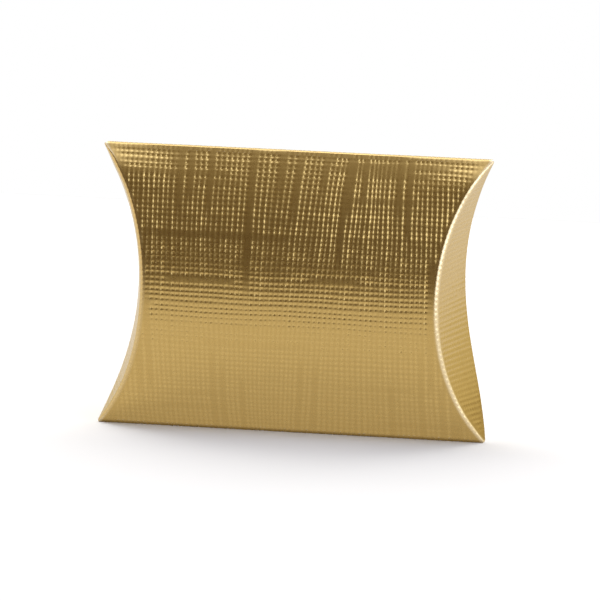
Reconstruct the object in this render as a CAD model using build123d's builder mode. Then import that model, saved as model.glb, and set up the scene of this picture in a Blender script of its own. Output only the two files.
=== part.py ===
from build123d import *
import math
import os

# Pillow box of folded card, standing on its long bottom fold.
# X runs along the box, the front panel faces -Y, Z is up.
# The origin is under the middle of the bottom fold. All lengths are millimetres.

# The box as a whole
length = 100.0
height = 72.0
panel_rise = 9.8
fold_width = 1.2
fold_depth = 0.9
fold_rounding = 0.25

# The card and its creases
card = 0.4
hinge_gap = 0.6
tuck_clearance = 0.3
flap_lean = 12.0
flap_tip_setback = 3.0

# The glued seam along the bottom of the back panel
seam_gap = 0.3
tab_width = 12.0
tab_end_inset = 6.0
tab_taper = 8.0
glue_thickness = 0.1
glue_margin = 2.0

# How far a cutting shape runs past what it cuts
overrun = 5.0

# Both panels are arcs of one radius, from fold to fold
half_length = length / 2
mid_height = height / 2
half_fold = fold_width / 2
bulge = half_fold + panel_rise
panel_radius = (mid_height**2 + panel_rise**2) / (2 * panel_rise)
panel_centre = panel_radius - bulge

# A curved crease keeps the card unstretched, so its depth at mid height
# follows from the rise of the panel and from how far the flap leans out
lean_sin = math.sin(math.radians(flap_lean))
lean_cos = math.cos(math.radians(flap_lean))
crease_ratio = (1 + lean_sin) / lean_cos
crease_dip = crease_ratio * panel_rise
crease_radius = (mid_height**2 + crease_dip**2) / (2 * crease_dip)
root_setback = card + hinge_gap
inner_inset = card + tuck_clearance
flap_height = height - 2 * flap_tip_setback


def curved_strip(centre, outer_radius, thickness, side, bottom, top):
    """A strip of bent card seen from the end: front panel side -1, back panel side 1."""
    with BuildSketch(Plane.YZ) as strip:
        with Locations((centre, mid_height)):
            Circle(outer_radius)
            Circle(outer_radius - thickness, mode=Mode.SUBTRACT)
        with Locations((side * (bulge + overrun) / 2, (bottom + top) / 2)):
            Rectangle(bulge + overrun, top - bottom, mode=Mode.INTERSECT)
    return strip.sketch


def end_to_end(end_inset):
    """The box seen from the front: straight folds and ends that curve inwards."""
    corner = half_length - end_inset
    with BuildSketch(Plane.XZ) as outline:
        with BuildLine():
            Line((-corner, 0), (corner, 0))
            ThreePointArc((corner, 0), (corner - crease_dip, mid_height), (corner, height))
            Line((corner, height), (-corner, height))
            ThreePointArc((-corner, height), (crease_dip - corner, mid_height), (-corner, 0))
        make_face()
    return outline.sketch


def fold_section(bottom):
    """The solid bead of a long fold, where the two panels run together."""
    with BuildSketch(Plane.YZ) as section:
        with Locations((panel_centre, mid_height)):
            Circle(panel_radius)
        with Locations((-panel_centre, mid_height)):
            Circle(panel_radius, mode=Mode.INTERSECT)
        with Locations((0, bottom + fold_depth / 2)):
            Rectangle(2 * bulge, fold_depth, mode=Mode.INTERSECT)
    return section.sketch


# Front panel, the bowed face with a curved crease at each end
with BuildPart() as front_panel:
    band = curved_strip(panel_centre, panel_radius, card, -1, fold_depth, height - fold_depth)
    extrude(band, amount=half_length, both=True)
    extrude(end_to_end(0), amount=bulge + overrun, both=True, mode=Mode.INTERSECT)

# Back panel, whose lower edge is the cut edge of the blank, glued over the tab.
# It is shorter by a card's thickness at each end, so its flaps tuck inside.
with BuildPart() as back_panel:
    cut_edge = fold_depth + seam_gap
    band = curved_strip(-panel_centre, panel_radius, card, 1, cut_edge, height - fold_depth)
    extrude(band, amount=half_length, both=True)
    extrude(end_to_end(inner_inset), amount=bulge + overrun, both=True, mode=Mode.INTERSECT)

# Bottom fold, the narrow flat edge that the box stands on
with BuildPart() as bottom_fold:
    extrude(fold_section(0), amount=half_length, both=True)
    extrude(end_to_end(0), amount=bulge, both=True, mode=Mode.INTERSECT)
    fillet(bottom_fold.faces().sort_by(Axis.Z)[0].edges().filter_by(Axis.X), fold_rounding)

# Top fold, where the front panel turns into the back panel
with BuildPart() as top_fold:
    extrude(fold_section(height - fold_depth), amount=half_length, both=True)
    extrude(end_to_end(0), amount=bulge, both=True, mode=Mode.INTERSECT)
    fillet(top_fold.faces().sort_by(Axis.Z)[-1].edges().filter_by(Axis.X), fold_rounding)

# Glue tab, turned in from the bottom fold behind the back panel, with slanted ends
tab_top = fold_depth + tab_width
tab_bottom_half = half_length - tab_end_inset
tab_top_half = tab_bottom_half - tab_taper
with BuildPart() as glue_tab:
    tab_radius = panel_radius - card - glue_thickness
    band = curved_strip(-panel_centre, tab_radius, card, 1, fold_depth, tab_top)
    extrude(band, amount=half_length, both=True)
    with BuildSketch(Plane.XZ):
        with BuildLine():
            Polyline(
                (-tab_bottom_half, fold_depth),
                (tab_bottom_half, fold_depth),
                (tab_top_half, tab_top),
                (-tab_top_half, tab_top),
                close=True,
            )
        make_face()
    extrude(amount=bulge + overrun, both=True, mode=Mode.INTERSECT)

# Glue line, the dried adhesive between the tab and the back panel
with BuildPart() as glue_line:
    glue_bottom = fold_depth + glue_margin
    glue_top = tab_top - glue_margin
    band = curved_strip(-panel_centre, panel_radius - card, glue_thickness, 1, glue_bottom, glue_top)
    extrude(band, amount=tab_top_half - glue_margin, both=True)

# Right outer flap, hinged on the front panel's crease. It is bent to the same
# arc as the panel, and leans out by its spring. Its outline is a lens.
section_plane = Plane(
    origin=(half_length, -half_fold, 0),
    x_dir=(-lean_cos, lean_sin, 0),
    z_dir=(lean_sin, lean_cos, 0),
)
outline_plane = Plane(
    origin=(half_length, -half_fold, 0),
    x_dir=(lean_sin, lean_cos, 0),
    z_dir=(lean_cos, -lean_sin, 0),
)
with BuildPart() as right_outer_flap:
    with BuildSketch(section_plane):
        with Locations((panel_rise - panel_radius, mid_height)):
            Circle(panel_radius + card)
            Circle(panel_radius, mode=Mode.SUBTRACT)
        with Locations(((panel_rise + overrun) / 2, mid_height)):
            Rectangle(panel_rise + overrun, flap_height, mode=Mode.INTERSECT)
    extrude(amount=crease_dip + overrun, both=True)
    with BuildSketch(outline_plane):
        with Locations((crease_radius - crease_dip, mid_height)):
            Circle(crease_radius - root_setback / lean_cos)
        with Locations((crease_dip - crease_radius, mid_height)):
            Circle(crease_radius, mode=Mode.INTERSECT)
    extrude(amount=bulge + overrun, both=True, mode=Mode.INTERSECT)

# Right inner flap, hinged on the back panel's crease and tucked behind the outer
# flap. It reaches to the middle of the end.
free_edge_bow = crease_dip - panel_rise
free_edge_radius = (mid_height**2 + free_edge_bow**2) / (2 * free_edge_bow)
inner_crease_centre = half_length - inner_inset - crease_dip + crease_radius
with BuildPart() as right_inner_flap:
    with BuildSketch(Plane.XZ):
        with Locations((inner_crease_centre, mid_height)):
            Circle(crease_radius + card)
            Circle(crease_radius, mode=Mode.SUBTRACT)
        with Locations((half_length - crease_dip / 2 - overrun / 2, mid_height)):
            Rectangle(crease_dip + overrun, flap_height, mode=Mode.INTERSECT)
    extrude(amount=bulge, both=True)
    with BuildSketch(Plane.YZ):
        with Locations((-panel_centre, mid_height)):
            Circle(panel_radius - root_setback)
        with Locations((half_fold - free_edge_bow + free_edge_radius, mid_height)):
            Circle(free_edge_radius, mode=Mode.INTERSECT)
    extrude(amount=length, both=True, mode=Mode.INTERSECT)

# The left end is the right end mirrored
with BuildPart() as left_outer_flap:
    add(mirror(right_outer_flap.part, about=Plane.YZ))
with BuildPart() as left_inner_flap:
    add(mirror(right_inner_flap.part, about=Plane.YZ))

nodes = {
    "front_panel": front_panel,
    "back_panel": back_panel,
    "bottom_fold": bottom_fold,
    "top_fold": top_fold,
    "glue_tab": glue_tab,
    "glue_line": glue_line,
    "right_outer_flap": right_outer_flap,
    "right_inner_flap": right_inner_flap,
    "left_outer_flap": left_outer_flap,
    "left_inner_flap": left_inner_flap,
}

os.makedirs("parts", exist_ok=True)
for name, node in nodes.items():
    node.part.label = name
    export_step(node.part, f"parts/{name}.step")

print("crease depth", round(crease_dip, 3), "panel radius", round(panel_radius, 3))
print("front hinge at x", round(half_length - crease_dip, 3), "y", round(-bulge, 3))
print("back hinge at x", round(half_length - crease_dip - inner_inset, 3), "y", round(bulge, 3))
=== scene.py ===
# %% [markdown]
# # A pillow box of gold card with a linen emboss
# A pillow box is one flat blank of card. The mill lays gold foil on the board and presses a linen pattern
# into it, a die cuts the outline and the creases, and the maker glues one seam and pushes in four curved
# flaps. This lesson follows the same order: it presses a flat sheet, trims it to each piece's outline and
# then folds it up in the place that the CAD frame gives. Lengths are in millimetres until a piece is folded,
# and in metres from then on, because the frame is in metres.

# %% Load the frame and keep its box
import math
import random

import bmesh
import bpy
import numpy as np
from mathutils import Matrix, Vector
from mathutils.geometry import delaunay_2d_cdt


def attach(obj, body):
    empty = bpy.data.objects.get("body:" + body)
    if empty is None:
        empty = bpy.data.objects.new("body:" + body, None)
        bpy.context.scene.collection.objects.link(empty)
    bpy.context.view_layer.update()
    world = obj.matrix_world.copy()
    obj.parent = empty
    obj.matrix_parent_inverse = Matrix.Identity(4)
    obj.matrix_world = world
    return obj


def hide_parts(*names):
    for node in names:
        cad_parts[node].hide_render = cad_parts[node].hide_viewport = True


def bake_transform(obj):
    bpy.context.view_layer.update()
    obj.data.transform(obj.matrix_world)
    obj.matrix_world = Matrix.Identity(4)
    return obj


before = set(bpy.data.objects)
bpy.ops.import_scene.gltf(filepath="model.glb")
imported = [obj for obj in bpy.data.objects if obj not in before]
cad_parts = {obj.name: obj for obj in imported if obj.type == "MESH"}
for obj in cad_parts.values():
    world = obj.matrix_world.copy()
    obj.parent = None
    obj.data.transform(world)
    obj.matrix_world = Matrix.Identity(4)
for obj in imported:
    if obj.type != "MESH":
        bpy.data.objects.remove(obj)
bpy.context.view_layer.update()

# %% [markdown]
# ## Sizes
# The CAD frame gives every outer size, and these are the few numbers that the folded card needs: how long
# and high the box is, how far its faces bow out, how thick the card is, and how far a closed flap leans out.
# A crease lies in the flat plane half way between the two sheets that it joins, so its depth follows from the
# bow and the lean, and isn't a number of its own.

# %% Sizes of the box and its card
half_length = 50.0
height = 72.0
middle = height / 2
panel_rise = 9.8
half_fold = 0.6
card = 0.4
inner_inset = 0.7
lean_degrees = 12
metres = 0.001

lean = math.radians(lean_degrees)
bulge = panel_rise + half_fold
panel_radius = (middle**2 + panel_rise**2) / (2 * panel_rise)
panel_centre = panel_radius - bulge
crease_slope = (1 + math.sin(lean)) / math.cos(lean)
crease_depth = crease_slope * panel_rise
crease_radius = (middle**2 + crease_depth**2) / (2 * crease_depth)
print("panel radius", round(panel_radius, 2), "crease depth", round(crease_depth, 2))

# %% [markdown]
# ## The shape of the folded card
# Seen from its end the box is a lens: two arcs of card meet in tight round noses at the long folds. The
# point at distance q along the card, measured from the middle of the front panel, lies on the big arc while
# |q| is small and on the nose beyond it. Working in distances along the card keeps the linen pattern at
# one size everywhere, as on a real blank that bends but never stretches.

# %% The card's line from fold to fold
nose = 0.28
nose_start = math.asin((middle - nose) / (panel_radius - nose))
flat_half = (panel_radius - nose) * math.cos(nose_start) - panel_centre
arc_half = panel_radius * nose_start
nose_half = nose * (math.pi / 2 - nose_start)
fold_reach = arc_half + nose_half + flat_half


def card_line(q):
    """Depth y and height z of the outer face at the distance q from the middle of the front panel."""
    side = np.sign(q)
    on_arc = np.clip(np.abs(q), 0, arc_half)
    on_nose = np.clip(np.abs(q) - arc_half, 0, nose_half)
    on_flat = np.clip(np.abs(q) - arc_half - nose_half, 0, None)
    turn = nose_start + on_nose / nose
    past = np.abs(q) > arc_half
    y_arc = panel_centre - panel_radius * np.cos(on_arc / panel_radius)
    y = np.where(past, -flat_half - nose * np.cos(turn) + on_flat, y_arc)
    z_nose = middle - nose + nose * np.sin(turn)
    z = middle + side * np.where(past, z_nose, panel_radius * np.sin(on_arc / panel_radius))
    return y, z


print("flat of the fold", round(2 * flat_half, 2), "wide, arc from fold to fold", round(2 * arc_half, 2))

# %% [markdown]
# ## The curved crease and the corners
# The end of a pillow box is a crease on a curve. Here it is an arc in a plane, a little squarer than a circle
# because the card pulls the curve out near the corners. The corners themselves are rounded by handling, the
# card takes a bend about 1 mm wide in the crease, and it stands out in a soft bulge beside each corner, which
# the photograph shows as a bright patch. Small formulas do this, so that the panel, the fold and the flap
# that share an edge all ask the same function and meet without a gap.

# %% The curved crease and the corners
corner_round = 0.8
crease_square = 0.33
bend_reach = 0.95
bend_share = 0.35
least_dip = 0.02
top_bulge, bottom_bulge = 0.8, 0.4
bulge_length, bulge_height = 12.0, 4.2
bulge_from_fold = 6.0


def crease_dip(z):
    """How far the crease lies in from the end of the box at a height."""
    up = np.clip((z - middle) / middle, -1, 1)
    arc = np.sqrt(crease_radius**2 - (up * middle) ** 2) - (crease_radius - crease_depth)
    return arc + crease_square * 4 * up**2 * (1 - up**2)


def end_of_panel(z):
    """The crease's place along the box, with the corners rounded off."""
    to_fold = np.clip(np.minimum(z, height - z), 0, corner_round)
    rounding = corner_round - np.sqrt(corner_round**2 - (corner_round - to_fold) ** 2)
    return half_length - crease_dip(z) - rounding


def bend_half(z):
    """Half the card that the crease's bend takes up, less near the corners."""
    return np.minimum(bend_reach, bend_share * np.maximum(crease_dip(z), least_dip))


def corner_bulge(p, z, apex):
    """How far the springy card stands out beside the four corners, where the crease pulls it."""
    from_fold = np.minimum(z, height - z)
    size = np.where(z > middle, top_bulge, bottom_bulge)
    beside = np.exp(-((np.minimum(np.abs(p) - apex, 0) / bulge_length) ** 2))
    return size * beside * np.exp(-(((from_fold - bulge_from_fold) / bulge_height) ** 2))


print("crease from", round(float(end_of_panel(middle)), 2), "to", round(float(end_of_panel(1.0)), 2))

# %% [markdown]
# ## Folding a flat sheet up
# A point of the blank has a place p along the box and a place q up it. Before the crease it lies on the
# panel. In the crease it runs round a small bend, and past it straight back along the flap, which leans out
# by an angle that changes with the height, because the card is springy and twists a little. The face that
# points outwards is found from two short steps along the sheet, and a pressed groove moves against it.

# %% Fold points of the blank
panel_leans = (lean_degrees, 0, 0)


def fold_up(p, q, leans, inset):
    """Folded place of the blank's points, for the front of the box and its right end."""
    y, z = card_line(q)
    apex = end_of_panel(z) - inset
    y = y - corner_bulge(p, z, apex)
    up = (z - middle) / middle
    out = np.radians(leans[0] + leans[1] * up + leans[2] * up**2)
    turn = math.pi / 2 - out
    t = bend_half(z)
    bend_radius = t / np.tan(turn / 2)
    r = p - apex
    angle = turn * np.clip((r + t) / (2 * t), 0, 1)
    x_bend = apex - t + bend_radius * np.sin(angle)
    y_bend = y + bend_radius * (1 - np.cos(angle))
    x = np.where(r <= -t, p, np.where(r >= t, apex + r * np.sin(out), x_bend))
    y = np.where(r <= -t, y, np.where(r >= t, y + r * np.cos(out), y_bend))
    return np.stack([x, y, z], axis=-1)


def folded(p, q, h, leans, inset):
    """The same, moved out of the face by h."""
    step = 0.02
    along = fold_up(p + step, q, leans, inset) - fold_up(p - step, q, leans, inset)
    upward = fold_up(p, q + step, leans, inset) - fold_up(p, q - step, leans, inset)
    outward = np.cross(along, upward)
    outward /= np.linalg.norm(outward, axis=-1, keepdims=True)
    return fold_up(p, q, leans, inset) + outward * h[..., None]


middle_of_end = fold_up(np.array([half_length]), np.array([0.0]), panel_leans, 0.0)
print("a point 50 mm along the blank folds to", middle_of_end.round(2).tolist())

# %% [markdown]
# ## The linen press
# The emboss looks woven, but it is only a grid of fine grooves, about 1.2 mm apart, that a steel roller
# presses into the foil. A picture of threads would do from far off, but the light shows that these are real
# grooves: their walls catch the lamp at the right and mirror the dark room above. So Geometry Nodes press
# them into the mesh. Each row of the mesh comes in as one point that carries the row's outline, so the same
# tree trims a straight panel, a lens-shaped flap and a narrow fold.

# %% A small helper for node trees
class Wires:
    """Adds nodes to a tree and links them in one line each."""

    def __init__(self, tree):
        self.tree = tree

    def put(self, socket, value):
        if isinstance(value, bpy.types.NodeSocket):
            self.tree.links.new(value, socket)
        elif value is not None:
            socket.default_value = value

    def node(self, kind, inputs=None, **settings):
        made = self.tree.nodes.new(kind)
        for name, value in settings.items():
            setattr(made, name, value)
        for name, value in (inputs or {}).items():
            self.put(made.inputs[name], value)
        return made

    def math(self, operation, a, b=None, c=None, clamp=False):
        made = self.tree.nodes.new("ShaderNodeMath")
        made.operation = operation
        made.use_clamp = clamp
        for socket, value in zip(made.inputs, (a, b, c)):
            self.put(socket, value)
        return made.outputs[0]

    def times(self, product, *factors):
        for factor in factors:
            product = self.math("MULTIPLY", product, factor)
        return product

    def vector(self, x, y, z):
        return self.node("ShaderNodeCombineXYZ", {"X": x, "Y": y, "Z": z}).outputs[0]

    def smooth_step(self, value, low, high):
        inputs = {"Value": value, "From Min": low, "From Max": high}
        return self.node("ShaderNodeMapRange", inputs, interpolation_type="SMOOTHSTEP").outputs[0]

    def noise(self, place, detail, scale=1.0):
        made = self.node("ShaderNodeTexNoise", {"Vector": place, "Scale": scale, "Detail": detail})
        return made.outputs[0]


print("helper for node trees:", [name for name in vars(Wires) if not name.startswith("__")])

# %% [markdown]
# ## What the press is told
# A node tree is a machine, and its inputs are the dials: how far apart the threads lie, how wide and deep a
# groove is, and how much of that depth a column, a row and a crossing get. One press makes every sheet of the
# box, so each sheet names only the dials that it turns.

# %% What the linen press is told
pitch = 1.27
row_pitch = 1.3
groove_width = 0.9
press_inputs = {
    "Rows": ("NodeSocketGeometry", None),
    "First thread": ("NodeSocketFloat", 0.0),
    "Columns": ("NodeSocketInt", 9),
    "Bend columns": ("NodeSocketInt", 0),
    "Pitch": ("NodeSocketFloat", pitch),
    "Groove width": ("NodeSocketFloat", groove_width),
    "Groove depth": ("NodeSocketFloat", 0.085),
    "Column share": ("NodeSocketFloat", 0.66),
    "Row share": ("NodeSocketFloat", 0.2),
    "Crossing share": ("NodeSocketFloat", 1.35),
    "Missing threads": ("NodeSocketFloat", 0.3),
    "Waviness": ("NodeSocketFloat", 0.25),
    "Lean": ("NodeSocketFloat", 0.0),
    "Smooth margin": ("NodeSocketFloat", 0.9),
    "Seed": ("NodeSocketFloat", 3.0),
    "Material": ("NodeSocketMaterial", None),
}


def new_tree(name, inputs):
    tree = bpy.data.node_groups.new(name, "GeometryNodeTree")
    for label, (kind, value) in inputs.items():
        socket = tree.interface.new_socket(name=label, in_out="INPUT", socket_type=kind)
        if value is not None:
            socket.default_value = value
    tree.interface.new_socket(name="Geometry", in_out="OUTPUT", socket_type="NodeSocketGeometry")
    return tree, Wires(tree)


print("the press has", len(press_inputs), "inputs; threads", pitch, "mm apart")

# %% [markdown]
# ## A grid that knows the outline
# The press starts from a plain grid with one mesh row for each point that it is given. Each point carries
# its place up the blank, the left and right ends of the sheet there, and the share of a groove that runs
# along it, and the grid reads them by row number. That is simpler than cutting a pressed sheet to shape, and
# it leaves clean edges for the rim.

# %% Read the outline into the grid
row_facts = ("q", "groove", "thread", "left", "right", "bend", "margin")


def row_value(w, rows, row, name):
    """Reads one number of the outline point of each row."""
    named = w.node("GeometryNodeInputNamedAttribute", {"Name": name}, data_type="FLOAT")
    asked = {"Geometry": rows, "Index": row}
    at = w.node("GeometryNodeSampleIndex", asked, data_type="FLOAT", domain="POINT")
    w.put(at.inputs["Value"], named.outputs["Attribute"])
    return at.outputs["Value"]


def plain_grid(w, given):
    """The grid before it is shaped, the column number of each point and the facts of its row."""
    rows = given["Rows"]
    row_count = w.node("GeometryNodeAttributeDomainSize", {"Geometry": rows}).outputs["Point Count"]
    columns = given["Columns"]
    size_x = w.math("SUBTRACT", columns, 1.0)
    size_y = w.math("SUBTRACT", row_count, 1.0)
    sizes = {"Size X": size_x, "Size Y": size_y, "Vertices X": columns, "Vertices Y": row_count}
    grid = w.node("GeometryNodeMeshGrid", sizes)
    position = w.node("GeometryNodeInputPosition").outputs[0]
    place = w.node("ShaderNodeSeparateXYZ", {"Vector": position}).outputs
    column = w.math("ROUND", w.math("MULTIPLY_ADD", size_x, 0.5, place["X"]))
    row = w.math("ROUND", w.math("MULTIPLY_ADD", size_y, 0.5, place["Y"]))
    return grid.outputs["Mesh"], column, {name: row_value(w, rows, row, name) for name in row_facts}


print("each row carries", ", ".join(row_facts))

# %% [markdown]
# ## Threads that wander
# Five mesh columns serve each thread: two for the flat beside it, two half way down its walls and one at
# the bottom of the groove. Real linen board isn't ruled with a straight edge. The threads drift by a
# fraction of a millimetre, and in the photograph those right of the middle lean towards it, so noise and a
# gentle slant move the columns before the outline stops them.

# %% Lay the columns
lines_per_thread = 5
line_gap_share = 0.3
groove_rounding = 1.15
thread_jitter = 0.1


def lay_columns(w, given, column):
    """Where each column lies along the blank, and its share of a groove."""
    main = w.math("SUBTRACT", column, given["Bend columns"])
    thread = w.math("FLOOR", w.math("DIVIDE", main, lines_per_thread))
    phase = w.math("SUBTRACT", main, w.times(thread, lines_per_thread))
    to_bottom = (lines_per_thread - 1) / 2
    from_groove = w.math("SUBTRACT", phase, to_bottom)
    aside = w.times(given["Groove width"], line_gap_share, from_groove)
    shelving = w.math("MULTIPLY_ADD", w.math("ABSOLUTE", from_groove), -1 / to_bottom, 1.0)
    groove = w.math("POWER", shelving, groove_rounding)
    number = w.math("ADD", thread, given["Seed"])
    dice = w.node("ShaderNodeTexWhiteNoise", {"W": number}, noise_dimensions="1D")
    luck = dice.outputs["Value"]
    from_first = w.math("ADD", thread, given["First thread"])
    cell = w.math("ADD", from_first, w.math("MULTIPLY_ADD", luck, thread_jitter, (1 - thread_jitter) / 2))
    p = w.math("MULTIPLY_ADD", cell, given["Pitch"], aside)
    return {"main": main, "thread": thread, "groove": groove, "luck": luck, "p": p}


print("groove from its edge to its bottom:", [round(k**groove_rounding, 2) for k in (0, 0.5, 1)])

# %% Let the threads wander
noise_swing = 4.0
column_drift = (0.12, 0.05, 0.0)
row_drift = (0.04, 0.10, 9.0)
lean_centre, lean_narrowing = 6.0, 0.07
lean_there, lean_elsewhere = 0.09, -0.025


def drift(w, given, lay, across, along, seed_step):
    """Slow noise about zero, scaled by the waviness."""
    seed = w.math("ADD", given["Seed"], seed_step)
    place = w.vector(w.times(lay["p"], across), w.times(lay["q"], along), seed)
    return w.times(w.math("SUBTRACT", w.noise(place, 1.0), 0.5), noise_swing, given["Waviness"])


def wander(w, given, row, lay):
    """Threads lean and wander a little, and stop at the outline."""
    lay["q"] = row["q"]
    off_middle = w.times(w.math("SUBTRACT", lay["p"], lean_centre), lean_narrowing)
    near = w.math("EXPONENT", w.times(off_middle, off_middle, -1.0))
    slant = w.times(w.math("MULTIPLY_ADD", near, lean_there, lean_elsewhere), given["Lean"])
    lay["p"] = w.math("MULTIPLY_ADD", slant, row["q"], lay["p"])
    p = w.math("ADD", drift(w, given, lay, *column_drift), lay["p"])
    p = w.math("MINIMUM", w.math("MAXIMUM", p, row["left"]), row["right"])
    to_edge = w.math("MINIMUM", w.math("SUBTRACT", p, row["left"]), w.math("SUBTRACT", row["right"], p))
    lay["p"] = p
    lay["inside"] = w.smooth_step(to_edge, 0.0, w.times(row["margin"], given["Smooth margin"]))
    lay["q"] = w.math("MULTIPLY_ADD", drift(w, given, lay, *row_drift), lay["inside"], row["q"])


print("threads lean by up to", lean_there + lean_elsewhere, "of their height, near", lean_centre, "mm")

# %% [markdown]
# ## How deep the roller presses
# A groove is deepest where a column and a row cross, and that is what makes the rows of small bright beads
# in the photograph. Each thread has its own strength, thick and thin places follow each other along it, and
# here and there one is missing for some centimetres. White noise and slow noise with a fixed seed give each
# of these, so the cloth never repeats and is still the same in every run.

# %% Press the threads
loss_softness = 0.04
noise_step = 13.7
column_change, row_change = 0.014, 0.022
row_seed_step = 5.0
slub_scale, slub_swing = 0.45, 1.5
least_force, luck_force = 0.8, 0.4


def press_depth(w, given, row, lay):
    """How far each point is pressed in, as a height below the face."""
    lost = given["Missing threads"]
    lost_over = w.math("ADD", lost, loss_softness)
    number = w.times(lay["thread"], noise_step)
    along_column = w.vector(number, w.times(row["q"], column_change), given["Seed"])
    number = w.times(row["thread"], noise_step)
    row_seed = w.math("ADD", given["Seed"], row_seed_step)
    along_row = w.vector(w.times(lay["p"], row_change), number, row_seed)
    column_here = w.smooth_step(w.noise(along_column, 0.0), lost, lost_over)
    row_here = w.smooth_step(w.noise(along_row, 0.0), lost, lost_over)
    across, upward = (w.times(place, slub_scale) for place in (lay["p"], row["q"]))
    slub = w.math("SUBTRACT", w.noise(w.vector(across, upward, given["Seed"]), 2.0), 0.5)
    slub = w.math("MULTIPLY_ADD", slub, slub_swing, 1.0)
    force = w.times(column_here, w.math("MULTIPLY_ADD", lay["luck"], luck_force, least_force))
    columns_in = w.times(lay["groove"], force)
    rows_in = w.times(row["groove"], row_here)
    pressed = w.times(columns_in, given["Column share"])
    pressed = w.math("MULTIPLY_ADD", rows_in, given["Row share"], pressed)
    crossing = w.times(columns_in, rows_in)
    pressed = w.math("MULTIPLY_ADD", crossing, given["Crossing share"], pressed)
    depth = w.times(pressed, given["Groove depth"], lay["inside"])
    return w.times(slub, -1.0, depth)


print("the force on a thread runs from", least_force, "to", round(least_force + luck_force, 2))

# %% [markdown]
# ## Round the bend, and out as a plain mesh
# The first columns of a flap run round the bend of its crease, where the pattern is almost ironed out and
# only faint beads are left of the rows. The tree then merges the points that the outline has pushed onto
# each other, makes the result real and gives it its finish.

# %% Build the press
bead_share = 0.6
merge_distance = 0.02


def round_the_bend(w, given, row, lay, h):
    """Moves the first columns round the crease's bend."""
    is_bend = w.math("LESS_THAN", lay["main"], -0.5)
    share = w.math("DIVIDE", lay["main"], w.math("MAXIMUM", given["Bend columns"], 1.0))
    p_bend = w.math("MULTIPLY_ADD", share, row["bend"], row["left"])
    bead = w.times(w.math("SINE", w.times(share, -math.pi)), row["groove"])
    h_bend = w.times(bead, given["Groove depth"], -bead_share)
    keep = w.math("SUBTRACT", 1.0, is_bend)
    p = w.math("MULTIPLY_ADD", p_bend, is_bend, w.times(lay["p"], keep))
    q = w.math("MULTIPLY_ADD", row["q"], is_bend, w.times(lay["q"], keep))
    h = w.math("MULTIPLY_ADD", h_bend, is_bend, w.times(h, keep))
    return w.vector(p, q, h)


def make_press():
    tree, w = new_tree("linen press", press_inputs)
    given = w.node("NodeGroupInput").outputs
    grid, column, row = plain_grid(w, given)
    lay = lay_columns(w, given, column)
    wander(w, given, row, lay)
    place = round_the_bend(w, given, row, lay, press_depth(w, given, row, lay))
    moved = w.node("GeometryNodeSetPosition", {"Geometry": grid, "Position": place})
    asked = {"Geometry": moved.outputs[0], "Distance": merge_distance}
    merged = w.node("GeometryNodeMergeByDistance", asked)
    solid = w.node("GeometryNodeRealizeInstances", {"Geometry": merged.outputs[0]})
    dressed = w.node("GeometryNodeSetMaterial", {"Geometry": solid.outputs[0], "Material": given["Material"]})
    w.node("NodeGroupOutput", {"Geometry": dressed.outputs[0]})
    return tree


linen_press = make_press()
print("linen press has", len(linen_press.nodes), "nodes")

# %% [markdown]
# ## Rows up the blank
# The threads that run along the box are mesh rows: five for each, as with the columns. They are worked out
# here and not in the tree, because every row also has to know where the outline cuts it. The rows of the
# panel and of its outer flap come from one seed and cover nearly the same height, so a thread carries on
# almost in line across the crease. Near the long folds the pattern fades over a wider margin.

# %% Rows of the mesh, five for each thread
groove_shape = ((-2, 0.0), (-1, 0.45), (0, 1.0), (1, 0.45), (2, 0.0))
row_jitter = 0.06
row_strength = (0.75, 1.2)
fold_margin, fold_margin_reach = 5, 7


def thread_rows(low, high, seed):
    """Places of the mesh rows up the blank, with the groove's share and the thread number of each."""
    dice = random.Random(seed)
    count = max(1, round((high - low) / row_pitch))
    step = (high - low) / count
    rows = [(low, 0.0, 0)]
    for thread in range(count):
        groove = low + step * (thread + 0.5 + dice.uniform(-row_jitter, row_jitter))
        strength = dice.uniform(*row_strength)
        for aside, depth in groove_shape:
            rows.append((groove + aside * line_gap_share * groove_width, depth * strength, thread))
    rows.append((high, 0.0, count))
    return rows


def row_points(name, rows, outline):
    """A mesh with one point for each row, carrying the row's outline."""
    mesh = bpy.data.meshes.new(name)
    mesh.from_pydata([(0, q, 0) for q, groove, thread in rows], [], [])
    facts = {fact: [] for fact in row_facts}
    for q, groove, thread in rows:
        left, right, bend = outline(q)
        margin = 1 + fold_margin * math.exp(-(((fold_reach - abs(q)) / fold_margin_reach) ** 2))
        for fact, value in zip(row_facts, (q, groove, thread, left, right, bend, margin)):
            facts[fact].append(float(value))
    for fact, values in facts.items():
        mesh.attributes.new(fact, "FLOAT", "POINT").data.foreach_set("value", values)
    return bpy.data.objects.new(name, mesh)


print("a row is pressed at", row_strength[0], "to", row_strength[1], "of the usual depth")

# %% [markdown]
# ## One sheet from the press
# A modifier's inputs are set by their identifiers, before the object is looked at for the first time. The
# pressed result is copied out as a plain mesh, and the holder is thrown away with its modifier, so that
# nothing live is left in the piece.

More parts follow.
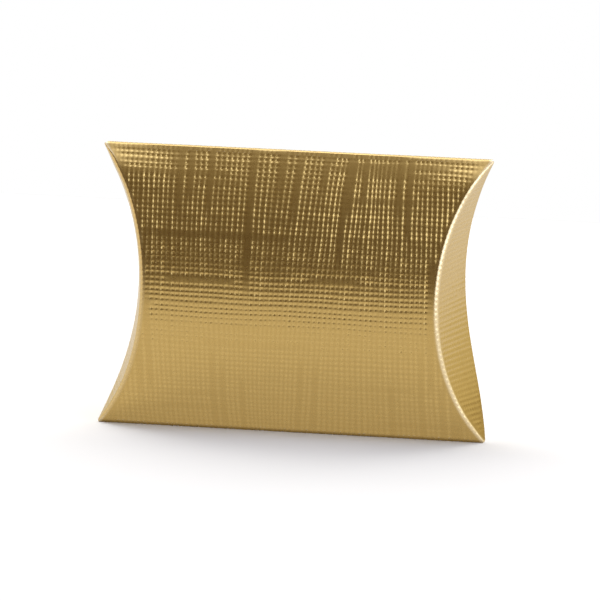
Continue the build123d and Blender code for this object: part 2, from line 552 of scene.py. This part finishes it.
# %% Press one sheet
def press_sheet(name, rows, outline, seed, bend_columns=0, **sizes):
    """Runs the linen press and returns the flat pressed sheet as a plain mesh."""
    holder = row_points(name, rows, outline)
    bpy.context.collection.objects.link(holder)
    lefts = [outline(q)[0] for q, groove, thread in rows]
    rights = [outline(q)[1] for q, groove, thread in rows]
    first = math.floor(min(lefts) / pitch) - 1
    last = math.ceil(max(rights) / pitch) + 1
    wanted = {
        "First thread": float(first),
        "Columns": lines_per_thread * (last - first) + bend_columns,
        "Bend columns": bend_columns,
        "Seed": float(seed),
        "Material": gold_foil,
    }
    wanted.update(sizes)
    modifier = holder.modifiers.new("linen", "NODES")
    modifier.node_group = linen_press
    for item in linen_press.interface.items_tree:
        if item.name in wanted:
            modifier[item.identifier] = wanted[item.name]
    seen = holder.evaluated_get(bpy.context.evaluated_depsgraph_get())
    flat = bpy.data.meshes.new_from_object(seen)
    holder.modifiers.remove(modifier)
    bpy.data.objects.remove(holder)
    print(name, "pressed,", len(flat.vertices), "points")
    return flat


print("sockets of the press:", len(linen_press.interface.items_tree))

# %% [markdown]
# ## Giving the sheet its back
# Card is 0.4 mm thick and its inside is plain white board. The pressed face needs its fine mesh, but the
# plain face behind it doesn't, so that one is filled with large triangles between the same edge points, and
# a rim of raw card joins the two into a closed shell.

# %% The border and the plain back
back_spacing = 3.0
same_point = 1e-5


def edge_loop(mesh):
    """The border of a sheet as one ordered ring of vertex numbers."""
    sheet = bmesh.new()
    sheet.from_mesh(mesh)
    following = {}
    for edge in sheet.edges:
        if len(edge.link_faces) == 1:
            loop = edge.link_loops[0]
            following[loop.vert.index] = loop.link_loop_next.vert.index
    sheet.free()
    start = next(iter(following))
    ring = [start]
    while following[ring[-1]] != start:
        ring.append(following[ring[-1]])
    assert len(ring) == len(following), (mesh.name, len(ring), len(following))
    return ring


def plain_back(border, p, q, spacing):
    """Large triangles inside the border, and the new number of each point of the border."""
    spots = list(border)
    for a in np.arange(p.min() + spacing / 2, p.max(), spacing):
        for b in np.arange(q.min() + spacing / 2, q.max(), spacing):
            spots.append((a, b))
    outline = [list(range(len(border)))]
    fill = delaunay_2d_cdt([Vector(v) for v in spots], [], outline, 1, same_point)
    filled, triangles, origins = fill[0], fill[2], fill[3]
    used = sorted({i for face in triangles for i in face})
    place_of = {old: new for new, old in enumerate(used)}
    points = np.array([(filled[i].x, filled[i].y) for i in used])
    start_of = {old: place_of[i] for i in used for old in origins[i]}
    return points, [[place_of[i] for i in face] for face in triangles], start_of


print("a plain back has points about", back_spacing, "mm apart")

# %% [markdown]
# ## Where the foil is rubbed, painted paler and pressed
# Two numbers travel with each point of the card, for the shader of the foil to read. One is wear together
# with a painted highlight, along the creases and a little on the long folds. The other says how far the
# roller pressed the foil in, and the shader paints the grooves paler by it, as a painted highlight. The edges
# between foil and board are marked sharp, so that the smooth shading doesn't run over the rim.

# %% Mark the wear and painted highlight, the pressing and the rim
crease_wear_and_sheen_reach = 0.9
fold_wear_and_sheen, fold_wear_and_sheen_reach = 0.12, 0.8
deepest_groove = 0.15
pressed_rounding = 0.6
sharp_turn = math.radians(50)


def mark_points(mesh, name, values):
    """Stores one number for each point of the mesh."""
    mesh.attributes.new(name, "FLOAT", "POINT").data.foreach_set("value", values)


def mark_wear_and_sheen(mesh, blank, inset, wear_and_sheen_share):
    """Paints the foil paler along the creases, and a little on the long folds, as wear and a painted
    highlight.
    """
    y, z = card_line(blank[:, 1])
    from_crease = np.abs(np.abs(blank[:, 0]) - (end_of_panel(z) - inset))
    # Near the creases and folds the paler foil is partly wear and partly a painted highlight.
    on_crease = np.exp(-((from_crease / crease_wear_and_sheen_reach) ** 4)) * wear_and_sheen_share
    on_fold = np.exp(-(((np.abs(blank[:, 1]) - fold_reach) / fold_wear_and_sheen_reach) ** 2))
    mark_points(mesh, "wear_and_sheen", np.maximum(on_crease, fold_wear_and_sheen * on_fold))


def mark_pressed(mesh, h, plain_count):
    """Stores how far each point is pressed in, which the foil's shader paints as a paler highlight in the
    grooves. The points of the plain back come last.
    """
    pressed = np.clip(-h / deepest_groove, 0, 1) ** pressed_rounding
    mark_points(mesh, "pressed", np.concatenate([pressed, np.zeros(plain_count)]))


def mark_rim(mesh):
    """Keeps the edges between foil and board crisp."""
    shell = bmesh.new()
    shell.from_mesh(mesh)
    for edge in shell.edges:
        kinds = {face.material_index for face in edge.link_faces}
        normals = [face.normal for face in edge.link_faces]
        turned = len(normals) == 2 and normals[0].angle(normals[1], 0) > sharp_turn
        edge.smooth = not (len(kinds) > 1 or (kinds == {1} and turned))
    shell.to_mesh(mesh)
    shell.free()


print("wear reaches", crease_wear_and_sheen_reach, "mm from a crease and", fold_wear_and_sheen_reach, "mm from a fold")

# %% [markdown]
# ## From a flat sheet to a closed piece of card
# The pressed face and the plain back are folded up with the same formula, the back 0.4 mm further in. Quads
# between their borders make the rim. A piece for the other end or the other face is the same one mirrored,
# and a single mirroring turns the faces inside out, so their corners are then listed the other way round.

# %% Close a pressed sheet into a shell of card
def close_card(name, flat, leans, inset, mirror, spacing=back_spacing, wear_and_sheen_share=1.0):
    """Folds a flat sheet, adds its back and rim, and returns the finished piece."""
    count = len(flat.vertices)
    places = np.empty(count * 3)
    flat.vertices.foreach_get("co", places)
    p, q, h = places.reshape(-1, 3).T
    ring = edge_loop(flat)
    points, triangles, start_of = plain_back([(p[i], q[i]) for i in ring], p, q, spacing)
    front = folded(p, q, h, leans, inset)
    back = folded(points[:, 0], points[:, 1], np.full(len(points), -card), leans, inset)
    both = np.concatenate([front, back]) * (*mirror, 1)
    faces = [tuple(face.vertices) for face in flat.polygons]
    foil_faces = len(faces)
    faces.extend(tuple(count + i for i in reversed(face)) for face in triangles)
    for k, i in enumerate(ring):
        following = (k + 1) % len(ring)
        faces.append((ring[following], i, count + start_of[k], count + start_of[following]))
    if mirror[0] * mirror[1] < 0:
        faces = [tuple(reversed(face)) for face in faces]
    mesh = bpy.data.meshes.new(name)
    mesh.from_pydata((both * metres).tolist(), [], faces)
    for material in (gold_foil, white_board):
        mesh.materials.append(material)
    is_board = np.arange(len(faces)) >= foil_faces
    mesh.polygons.foreach_set("material_index", is_board.astype(np.int32))
    mesh.polygons.foreach_set("use_smooth", np.ones(len(faces), dtype=bool))
    mark_wear_and_sheen(mesh, np.concatenate([np.stack([p, q], -1), points]), inset, wear_and_sheen_share)
    mark_pressed(mesh, h, len(points))
    mark_rim(mesh)
    piece = bpy.data.objects.new(name, mesh)
    bpy.context.collection.objects.link(piece)
    print(name, "has", sum(len(face) - 2 for face in faces), "triangles")
    return piece


print("the first material is the foil, the second the board of the back and the rim")

# %% [markdown]
# ## Gold foil
# The foil is a metal film under a thin lacquer, so the shader is a metal with a weak, slightly rough coat.
# Its brownish gold is darker than pure gold, and the tint at grazing angles keeps the flap from turning
# white. Fine noise makes the roughness vary as board fibres do under foil. Along the creases and folds the
# foil is painted paler, partly as wear where the film is stretched and rubbed and partly as a painted
# highlight on the bends: each mesh point carries that share as a number, and noise breaks it up. A second
# number on each point, how far it is pressed in, paints the grooves a paler gold as a painted highlight, so
# that the threads can still be seen where the foil mirrors only a plain white table.

# %% Mix the gold foil
gold = (0.515, 0.345, 0.106, 1)
# The paler gold of the grooves is a painted highlight.
groove_highlight_gold = (0.605, 0.417, 0.14, 1)
# The pale gold of the creases and folds is partly wear and partly a painted highlight.
worn_and_sheen_gold = (0.8, 0.66, 0.42, 1)
patch_scale, fibre_scale = 1400.0, 900.0


def new_material(name):
    material = bpy.data.materials.new(name)
    material.use_nodes = True
    shader = material.node_tree.nodes["Principled BSDF"]
    return material, Wires(material.node_tree), shader


def mix_colour(w, share, low, high):
    """A colour between two others, each a colour or a socket."""
    made = w.node("ShaderNodeMix", {0: share}, data_type="RGBA")
    w.put(made.inputs[6], low)
    w.put(made.inputs[7], high)
    return made.outputs[2]


def make_gold_foil():
    material, w, shader = new_material("gold foil")
    shader.inputs["Metallic"].default_value = 1.0
    shader.inputs["Specular Tint"].default_value = (0.86, 0.81, 0.66, 1)
    shader.inputs["Coat Weight"].default_value = 0.3
    shader.inputs["Coat IOR"].default_value = 1.55
    shader.inputs["Coat Roughness"].default_value = 0.2
    place = w.node("ShaderNodeTexCoord").outputs["Object"]
    wear_and_sheen_share = w.node("ShaderNodeAttribute", attribute_name="wear_and_sheen").outputs["Fac"]
    patchy = w.noise(place, 2.0, patch_scale)
    # Wear and a painted highlight on the creases and folds, broken up by noise.
    wear_and_sheen_mask = w.math("MULTIPLY", wear_and_sheen_share, w.math("MULTIPLY_ADD", patchy, 0.8, 0.4, clamp=True), clamp=True)
    pressed = w.node("ShaderNodeAttribute", attribute_name="pressed").outputs["Fac"]
    # The grooves are painted a paler gold by how far they are pressed: a painted highlight.
    gold_with_groove_highlight = mix_colour(w, pressed, gold, groove_highlight_gold)
    w.put(shader.inputs["Base Color"], mix_colour(w, wear_and_sheen_mask, gold_with_groove_highlight, worn_and_sheen_gold))
    grain = w.noise(place, 3.0, fibre_scale)
    rough = w.node("ShaderNodeMapRange", {"Value": grain, "To Min": 0.24, "To Max": 0.32})
    w.put(shader.inputs["Roughness"], rough.outputs[0])
    return material


gold_foil = make_gold_foil()
print("finish:", gold_foil.name)

# %% [markdown]
# ## White board
# The inside and the cut edges are plain folding board: matt, warm white, with fibres that run along the
# mill's machine and a few darker flecks. Noise that is stretched along the box gives the fibres, and a
# sharply cut noise the flecks. The same fibres feed a slight bump, so that the board isn't as smooth as
# plastic in the soft light.

# %% Mix the white board
dark_paper, light_paper = (0.66, 0.62, 0.54, 1), (0.84, 0.81, 0.75, 1)
fleck = (0.42, 0.36, 0.28, 1)


def make_board():
    material, w, shader = new_material("white board")
    place = w.node("ShaderNodeTexCoord").outputs["Object"]
    long_fibres = w.node("ShaderNodeMapping", {"Vector": place, "Scale": (350, 1400, 1400)}).outputs[0]
    fibres = w.noise(long_fibres, 3.0)
    flecks = w.smooth_step(w.noise(place, 1.0, 900.0), 0.68, 0.76)
    paper = mix_colour(w, fibres, dark_paper, light_paper)
    speckled = mix_colour(w, w.times(flecks, 0.5), paper, fleck)
    w.put(shader.inputs["Base Color"], speckled)
    shader.inputs["Roughness"].default_value = 0.85
    bump = w.node("ShaderNodeBump", {"Height": fibres, "Strength": 0.25, "Distance": 0.00005})
    w.put(shader.inputs["Normal"], bump.outputs[0])
    return material


white_board = make_board()
print("finish:", white_board.name)

# %% [markdown]
# ## Dried glue
# The line of glue on the tab can only be seen through an open end. It dries to a yellowish skin with streaks
# along the way that the wheel ran, and the thicker streaks shine more, so one stretched noise drives both
# the colour and the roughness.

# %% Mix the glue
thin_glue, thick_glue = (0.58, 0.49, 0.3, 1), (0.84, 0.76, 0.56, 1)


def make_glue():
    material, w, shader = new_material("dried glue")
    place = w.node("ShaderNodeTexCoord").outputs["Object"]
    streaks = w.noise(w.node("ShaderNodeMapping", {"Vector": place, "Scale": (60, 900, 900)}).outputs[0], 2.0)
    w.put(shader.inputs["Base Color"], mix_colour(w, streaks, thin_glue, thick_glue))
    rough = w.node("ShaderNodeMapRange", {"Value": streaks, "To Min": 0.25, "To Max": 0.5})
    w.put(shader.inputs["Roughness"], rough.outputs[0])
    return material


dried_glue = make_glue()
print("finish:", dried_glue.name)

# %% [markdown]
# ## The front and back panels
# The two bowed faces are the largest sheets of the blank, and both are the same shape. The back one lies
# 0.7 mm further in at its ends, so that its flaps tuck behind the front's, and it ends just short of the
# bottom fold, where the blank's cut edge is glued. Only the front's threads lean, because only the front can
# be seen in the photograph. Each is pressed flat, then folded, and the back is turned round by mirroring.

# %% The panels
panel_stop = 0.9
seam_gap = 0.3
upright = (0, 0, 0)
front_row_seed, back_row_seed = 11, 12
low_edge = -panel_radius * math.asin((middle - panel_stop) / panel_radius)


def panel_outline(inset):
    def outline(q):
        y, z = card_line(np.array(q))
        end = float(end_of_panel(z) - inset - bend_half(z))
        return -end, end, 0.0
    return outline


front_outline = panel_outline(0)
panel_rows = thread_rows(low_edge, -low_edge, front_row_seed)
front_sheet = press_sheet("front panel sheet", panel_rows, front_outline, 3, Lean=1.0)
front_panel = close_card("front_panel_card", front_sheet, panel_leans, 0.0, (1, 1))
back_rows = thread_rows(low_edge + seam_gap, -low_edge, back_row_seed)
back_sheet = press_sheet("back panel sheet", back_rows, panel_outline(inner_inset), 21)
back_panel = close_card("back_panel_card", back_sheet, upright, inner_inset, (1, -1))
print("mesh rows, front and back:", len(panel_rows), len(back_rows))

# %% [markdown]
# ## The outer end flaps
# An outer flap is a lens: one side is the curved crease and the other is the flap's own cut edge, as deep
# again. In the photograph the right one leans out about 10 degrees at the middle and twists a little, so the
# lean is a small formula of the height. The bend of the crease is part of the flap's sheet, with eight
# columns of its own. Card can't swing about a curved crease without bending, and a smooth bend from crease
# to cut edge needs the turn to fade towards the corners. Each flap is made as an upper and a lower half,
# which meet on a flat row between two threads.

# %% The outline and the halves of a flap
least_width = 0.03
bend_columns = 8
flap_spacing = 0.9


def flap_outline(inset, reach):
    """The outline of a flap that reaches a number of times the depth of its crease."""
    def outline(q):
        y, z = card_line(np.array(q))
        apex = float(end_of_panel(z) - inset)
        t = float(bend_half(z))
        start = apex + t
        end = apex + float(crease_dip(z)) * reach
        return start, max(end, start + least_width), 2 * t
    return outline


def flat_row(rows):
    """The number of the row without a groove that is nearest the middle of the height."""
    flat = [i for i, (q, groove, thread) in enumerate(rows) if groove == 0]
    return min(flat, key=lambda i: abs(rows[i][0]))


def make_flap(name, seed, leans, mirror, rows, outline, inset, press, wear_and_sheen_share=1.0):
    """The upper and the lower half of a flap, which meet in a flat row between two threads."""
    split = flat_row(rows)
    halves = []
    for half, part in (("upper", rows[split:]), ("lower", rows[:split + 1])):
        sheet = press_sheet(f"{name} {half} sheet", part, outline, seed, bend_columns, **press)
        title = f"{name}_flap_{half}_half"
        halves.append(close_card(title, sheet, leans, inset, mirror, flap_spacing, wear_and_sheen_share))
    return halves


print("a flap's bend has", bend_columns, "columns of mesh")

# %% The outer flaps
past_the_arc = 0.3
flap_low = -(arc_half + past_the_arc)
outer_press = {
    "Column share": 0.25,
    "Row share": 0.7,
    "Crossing share": 0.2,
    "Missing threads": 0.2,
    "Waviness": 0.0,
}
outer = {
    "rows": thread_rows(flap_low, -flap_low, front_row_seed),
    "outline": flap_outline(0, 2),
    "inset": 0.0,
    "press": outer_press,
}
right_leans, left_leans = (9.9, -6.7, 7.3), (11.1, 1.4, 5.9)
right_flap = make_flap("right_outer", 41, right_leans, (1, 1), **outer)
# The left crease gets less of the pale wear and painted highlight.
left_flap = make_flap("left_outer", 43, left_leans, (-1, 1), wear_and_sheen_share=0.35, **outer)
print("outer flaps:", [piece.name for piece in right_flap + left_flap])

# %% [markdown]
# ## The inner end flaps
# Behind each outer flap lies an inner one, hinged on the back panel. The photograph doesn't show it, and real
# boxes often cut it shorter than the outer one, so it reaches half as far. It is made with the same function,
# from a shorter outline, and stands straight.

# %% The inner flaps
inner_tip = 2.0
inner_low = -panel_radius * math.asin((middle - inner_tip) / panel_radius)
inner = {
    "rows": thread_rows(inner_low, -inner_low, back_row_seed),
    "outline": flap_outline(inner_inset, 1),
    "inset": inner_inset,
    "press": {"Waviness": 0.0},
}
right_inner = make_flap("right_inner", 45, upright, (1, -1), **inner)
left_inner = make_flap("left_inner", 47, upright, (-1, -1), **inner)
print("inner flaps:", [piece.name for piece in right_inner + left_inner])

# %% [markdown]
# ## The long folds
# The sleeve is closed by two long folds, each a narrow flat between two tight noses. The box stands on the
# lower one. They carry no threads, because the fold presses them flat, but their rows lie close together
# round the noses so that the light runs along a true curve. They share their edges with the panels, and their
# ends have the front panel's outline.

# %% The long folds
fold_steps = (2, 7, 3, 7, 2)
fold_spacing = 2.0


def fold_rows(side):
    """Rows round the fold, close together where the card turns."""
    ends = -low_edge, arc_half, arc_half + nose_half, 2 * fold_reach - arc_half - nose_half
    ends = ends + (2 * fold_reach - arc_half, 2 * fold_reach + low_edge)
    places = [ends[0]]
    for start, end, steps in zip(ends, ends[1:], fold_steps):
        places.extend(np.linspace(start, end, steps + 1)[1:])
    return [(float(side * q), 0.0, 0) for q in sorted(places, key=lambda q: side * q)]


folds = {}
for name, side in (("top_fold", 1), ("bottom_fold", -1)):
    sheet = press_sheet(f"{name} sheet", fold_rows(side), front_outline, 3)
    folds[name] = close_card(f"{name}_card", sheet, panel_leans, 0.0, (1, 1), fold_spacing)
print("rows round each fold:", len(fold_rows(1)))

# %% [markdown]
# ## The sleeve's pieces take the place of the CAD's
# Panels and folds never move against each other, so they ride on the sleeve and stand for the CAD pieces of
# the same name. The glue and its tab keep their CAD shape, because little of them shows, and only get their
# finish here.

# %% Dress the sleeve
sleeve = {"front_panel": front_panel, "back_panel": back_panel, **folds}
for node, piece in sleeve.items():
    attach(piece, "sleeve")
    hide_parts(node)
for node, material in (("glue_tab", white_board), ("glue_line", dried_glue)):
    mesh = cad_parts[node].data
    mesh.materials.clear()
    mesh.materials.append(material)
print("on the sleeve:", [piece.name for piece in sleeve.values()])

# %% [markdown]
# ## The flaps take the place of the CAD's
# The CAD turns a flap as a rigid plate about an upright axis through the middle of its crease. Real card
# stays in the crease along its whole length and bends instead. Here each half of a flap only has its place
# baked into its mesh, and the CAD flap of the same name is hidden.

# %% Hide the CAD flaps
def swing_open(halves, body, side, face, inset, out, rows, reach, taper):
    """Bakes the place of both halves of a flap into their meshes and hides the CAD flap."""
    for piece, up in zip(halves, (1, -1)):
        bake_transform(piece)
        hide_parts(f"{body}_flap")


outer_swing = {"inset": 0, "out": lean, "rows": outer["rows"], "reach": 16, "taper": 0.4}
inner_swing = {"inset": inner_inset, "out": 0, "rows": inner["rows"], "reach": 12, "taper": 0.34}
swing_open(right_flap, "right_outer", 1, 1, **outer_swing)
swing_open(left_flap, "left_outer", -1, 1, **outer_swing)
swing_open(right_inner, "right_inner", 1, -1, **inner_swing)
swing_open(left_inner, "left_inner", -1, -1, **inner_swing)
print("an outer flap bends over", outer_swing["reach"], "mm, an inner one over", inner_swing["reach"])

# %% [markdown]
# ## The table
# The box stands on a plain white sheet. Seen by the camera it is matt. Seen as a reflection in the foil it
# has to be bright as in the studio, where lamps light it well beyond the picture, so mirror rays meet a soft
# glow instead, except within a millimetre of the box, where the gap under the fold stays dark.

# %% Floor
across, behind, front = 0.6, 0.42, -0.26
dark_gap, full_glow = 0.0003, 0.0012
glow_share = 0.55


def make_floor():
    mesh = bpy.data.meshes.new("floor")
    corners = [(-across, front, 0), (across, front, 0), (across, behind, 0), (-across, behind, 0)]
    mesh.from_pydata(corners, [], [(0, 1, 2, 3)])
    floor = bpy.data.objects.new("floor", mesh)
    bpy.context.collection.objects.link(floor)
    material, w, shader = new_material("matt white table")
    shader.inputs["Base Color"].default_value = (0.66, 0.655, 0.64, 1)
    shader.inputs["Roughness"].default_value = 0.9
    shader.inputs["Specular IOR Level"].default_value = 0.1
    glow = w.node("ShaderNodeEmission", {"Color": (1, 0.965, 0.92, 1), "Strength": 1.0})
    path = w.node("ShaderNodeLightPath").outputs
    away = w.smooth_step(path["Ray Length"], dark_gap, full_glow)
    mirrored = w.times(path["Is Glossy Ray"], away, glow_share)
    mixed = w.node("ShaderNodeMixShader", {0: mirrored})
    w.put(mixed.inputs[1], shader.outputs[0])
    w.put(mixed.inputs[2], glow.outputs[0])
    w.put(material.node_tree.nodes["Material Output"].inputs["Surface"], mixed.outputs[0])
    mesh.materials.append(material)


make_floor()
print("floor", 2 * across, "m wide and", round(behind - front, 2), "m deep")

# %% [markdown]
# ## The room and the lamps
# The foil mirrors the room, so the room matters as much as the lamps. The world is a plain room: dark brown
# at eye level, which gives the dark upper half of the panel, bright overhead and at the sides, and a warm
# backdrop behind. The camera itself sees white. A large softbox hangs behind and above, a little to the
# left, and throws the soft shadow forwards. A second one at the front right lights the right flap and the
# walls of the grooves.

# %% The room that the foil mirrors
eye_level, upper_room = (0.152, 0.111, 0.068, 1), (0.3, 0.25, 0.18, 1)
ceiling = (2.3, 2.45, 3.0, 1)
left_wall, right_wall = (1.3, 1.2, 1.0, 1), (1.6, 1.6, 1.5, 1)
low_backdrop, high_backdrop = (0.93, 0.87, 0.62, 1), (0.36, 0.28, 0.13, 1)
white = (1, 1, 1, 1)


def make_world():
    world = bpy.data.worlds.new("studio room")
    world.use_nodes = True
    bpy.context.scene.world = world
    w = Wires(world.node_tree)
    direction = w.node("ShaderNodeTexCoord").outputs["Generated"]
    parts = w.node("ShaderNodeSeparateXYZ", {"Vector": direction}).outputs
    room = mix_colour(w, w.smooth_step(parts["Z"], 0.2, 0.8), eye_level, upper_room)
    room = mix_colour(w, w.smooth_step(parts["Z"], 0.8, 0.97), room, ceiling)
    room = mix_colour(w, w.smooth_step(parts["X"], -0.6, -0.85), room, left_wall)
    room = mix_colour(w, w.smooth_step(parts["X"], 0.75, 0.9), room, right_wall)
    backdrop = mix_colour(w, w.smooth_step(parts["Z"], 0.08, 0.5), low_backdrop, high_backdrop)
    around = mix_colour(w, w.smooth_step(parts["Y"], -0.1, 0.5), room, backdrop)
    seen = w.node("ShaderNodeLightPath").outputs["Is Camera Ray"]
    background = world.node_tree.nodes["Background"]
    w.put(background.inputs["Color"], mix_colour(w, seen, around, white))


make_world()
print("world:", bpy.context.scene.world.name)

# %% The two softboxes
def soft_light(name, place, target, size, radiance, colour=(1, 1, 1)):
    """A rectangular lamp with a power that gives its face this radiance."""
    data = bpy.data.lights.new(name, "AREA")
    data.shape = "RECTANGLE"
    data.size, data.size_y = size
    data.energy = radiance * math.pi * size[0] * size[1]
    data.color = colour
    lamp = bpy.data.objects.new(name, data)
    bpy.context.collection.objects.link(lamp)
    lamp.location = place
    lamp.rotation_euler = (Vector(target) - Vector(place)).to_track_quat("-Z", "Y").to_euler()
    return lamp


top_softbox = soft_light("top softbox", (-0.2, 0.7, 0.9), (0, 0, 0), (1.9, 1.1), 3.3)
cool = (0.86, 0.96, 1.2)
right_softbox = soft_light("right softbox", (0.6, -0.71, 0.38), (0, 0, 0.04), (0.9, 1.05), 2.1, cool)
print("lamps:", [(lamp.name, round(lamp.data.energy, 1)) for lamp in (top_softbox, right_softbox)])

# %% [markdown]
# ## The camera
# The photograph looks down by less than 9 degrees, from a little to the right of the front, with a long lens:
# the box's upright edges stay parallel. The camera is placed from these angles and the picture's scale, in
# picture points for each millimetre, and it is rolled a little because the photograph is.

# %% Camera
picture = 600
sensor = 36


def place_camera():
    """Looks from the photograph's direction. The aim is the picture point of the box's middle."""
    azimuth, elevation, roll = math.radians(8.5), math.radians(8.6), math.radians(1.71)
    distance, scale = 1400.0, 3.947
    aim_x, aim_y = 294.5, 291.9
    right = Vector((math.cos(azimuth), math.sin(azimuth), 0))
    level = Vector((-math.sin(azimuth), math.cos(azimuth), 0))
    ahead = level * math.cos(elevation) - Vector((0, 0, math.sin(elevation)))
    up = right.cross(ahead)
    image_right = right * math.cos(roll) + up * math.sin(roll)
    image_up = up * math.cos(roll) - right * math.sin(roll)
    aim = Vector((0, 0, middle))
    aim += image_right * (picture / 2 - aim_x) / scale
    aim -= image_up * (picture / 2 - aim_y) / scale
    place = (aim - ahead * distance) * metres
    data = bpy.data.cameras.new("product camera")
    data.sensor_width = sensor
    data.lens = sensor * distance * scale / picture
    data.clip_start = 0.05
    data.clip_end = 20
    camera = bpy.data.objects.new("product camera", data)
    bpy.context.collection.objects.link(camera)
    turn = Matrix((image_right, image_up, -ahead)).transposed()
    camera.matrix_world = Matrix.Translation(place) @ turn.to_4x4()
    bpy.context.scene.camera = camera
    return camera


camera = place_camera()
bpy.context.scene.view_settings.view_transform = "Standard"
print("camera lens", round(camera.data.lens, 1))

# %% [markdown]
